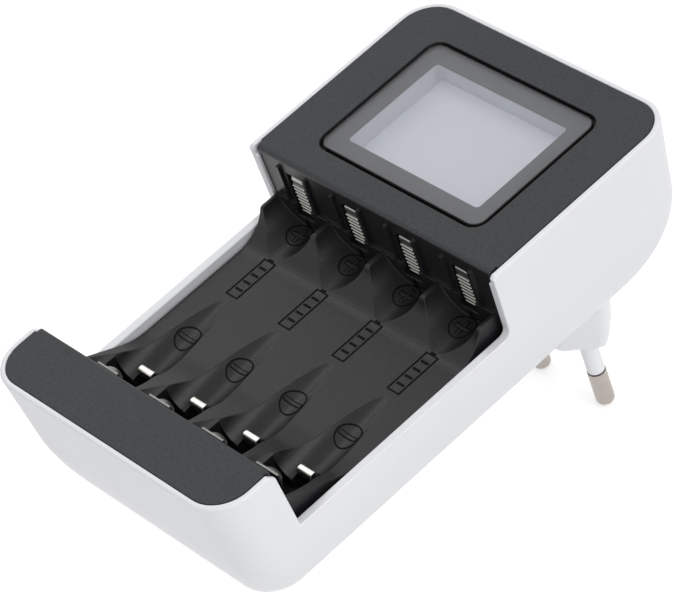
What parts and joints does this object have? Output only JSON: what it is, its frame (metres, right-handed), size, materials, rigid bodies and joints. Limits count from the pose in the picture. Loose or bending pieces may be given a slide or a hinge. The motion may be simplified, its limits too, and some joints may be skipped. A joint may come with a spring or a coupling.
{
  "type": "battery charger",
  "caption": "Plug-in charger for round rechargeable cells: boat-shaped white shell, dark cover with display and open bay with spring contacts, and a two-pin wall plug behind.",
  "frame": {"origin": "midway between the two mains pins on the end face of the plug", "axes": "+Z out of the wall towards the display face, +Y along the cells towards the display, X across the cells"},
  "size_m": [0.0696, 0.1199, 0.0765],
  "materials": {
    "white_abs": "fine satin moulding",
    "black_abs": "fine matt texture",
    "window_acrylic": "clear with a grey printed border",
    "black_foam": "foam",
    "lcd_glass": "pale grey display glass",
    "light_guide_acrylic": "frosted",
    "white_nylon": "moulded",
    "black_nylon": "moulded",
    "circuit_board": "solder mask",
    "zinc_steel": "zinc plated",
    "ferrite": "sintered",
    "winding_tape": "polyester tape",
    "capacitor_sleeve": "shrink sleeve",
    "blue_epoxy": "dipped",
    "fuse_ceramic": "glazed",
    "chip_epoxy": "moulded",
    "nickel_brass": "nickel plated, turned",
    "nickel_strip": "nickel plated spring strip"
  },
  "bodies": {
    "housing": {"back_shell": "white_abs", "front_cover": "black_abs", "display_window": "window_acrylic", "window_gasket": "black_foam", "lcd_panel": "lcd_glass", "light_guide": "light_guide_acrylic", "lcd_holder": "white_nylon", "display_board": "circuit_board", "display_screws": "zinc_steel", "board_header": "black_nylon", "main_board": "circuit_board", "transformer_core": "ferrite", "transformer_coil": "winding_tape", "bulk_capacitor": "capacitor_sleeve", "output_capacitor": "capacitor_sleeve", "safety_capacitor": "blue_epoxy", "line_fuse": "fuse_ceramic", "bridge_rectifier": "chip_epoxy", "optocoupler": "chip_epoxy", "controller_chip": "chip_epoxy", "charge_transistors": "chip_epoxy", "plug_body": "white_abs", "mains_pin_left": "nickel_brass", "mains_pin_right": "nickel_brass", "pin_sleeve_left": "white_nylon", "pin_sleeve_right": "white_nylon", "housing_screws": "zinc_steel", "positive_contact_1": "nickel_strip", "positive_contact_2": "nickel_strip", "positive_contact_3": "nickel_strip", "positive_contact_4": "nickel_strip"},
    "aa_spring_1": {"aa_spring_contact_1": "nickel_strip"},
    "aa_spring_2": {"aa_spring_contact_2": "nickel_strip"},
    "aa_spring_3": {"aa_spring_contact_3": "nickel_strip"},
    "aa_spring_4": {"aa_spring_contact_4": "nickel_strip"},
    "aaa_spring_1": {"aaa_spring_contact_1": "nickel_strip"},
    "aaa_spring_2": {"aaa_spring_contact_2": "nickel_strip"},
    "aaa_spring_3": {"aaa_spring_contact_3": "nickel_strip"},
    "aaa_spring_4": {"aaa_spring_contact_4": "nickel_strip"}
  },
  "joints": [
    {"name": "aa_spring_1_flex", "type": "hinge", "parent": "housing", "child": "aa_spring_1", "pos_m": [-0.02337, -0.0843, 0.03345], "axis": [1, 0, 0], "range_deg": [0, 6], "stiffness_Nm_per_rad": 0.45},
    {"name": "aa_spring_2_flex", "type": "hinge", "parent": "housing", "child": "aa_spring_2", "pos_m": [-0.00779, -0.0843, 0.03345], "axis": [1, 0, 0], "range_deg": [0, 6], "stiffness_Nm_per_rad": 0.45},
    {"name": "aa_spring_3_flex", "type": "hinge", "parent": "housing", "child": "aa_spring_3", "pos_m": [0.00779, -0.0843, 0.03345], "axis": [1, 0, 0], "range_deg": [0, 6], "stiffness_Nm_per_rad": 0.45},
    {"name": "aa_spring_4_flex", "type": "hinge", "parent": "housing", "child": "aa_spring_4", "pos_m": [0.02337, -0.0843, 0.03345], "axis": [1, 0, 0], "range_deg": [0, 6], "stiffness_Nm_per_rad": 0.45},
    {"name": "aaa_spring_1_flex", "type": "hinge", "parent": "housing", "child": "aaa_spring_1", "pos_m": [-0.02337, -0.0747, 0.03345], "axis": [1, 0, 0], "range_deg": [0, 10], "stiffness_Nm_per_rad": 0.12},
    {"name": "aaa_spring_2_flex", "type": "hinge", "parent": "housing", "child": "aaa_spring_2", "pos_m": [-0.00779, -0.0747, 0.03345], "axis": [1, 0, 0], "range_deg": [0, 10], "stiffness_Nm_per_rad": 0.12},
    {"name": "aaa_spring_3_flex", "type": "hinge", "parent": "housing", "child": "aaa_spring_3", "pos_m": [0.00779, -0.0747, 0.03345], "axis": [1, 0, 0], "range_deg": [0, 10], "stiffness_Nm_per_rad": 0.12},
    {"name": "aaa_spring_4_flex", "type": "hinge", "parent": "housing", "child": "aaa_spring_4", "pos_m": [0.02337, -0.0747, 0.03345], "axis": [1, 0, 0], "range_deg": [0, 10], "stiffness_Nm_per_rad": 0.12}
  ]
}
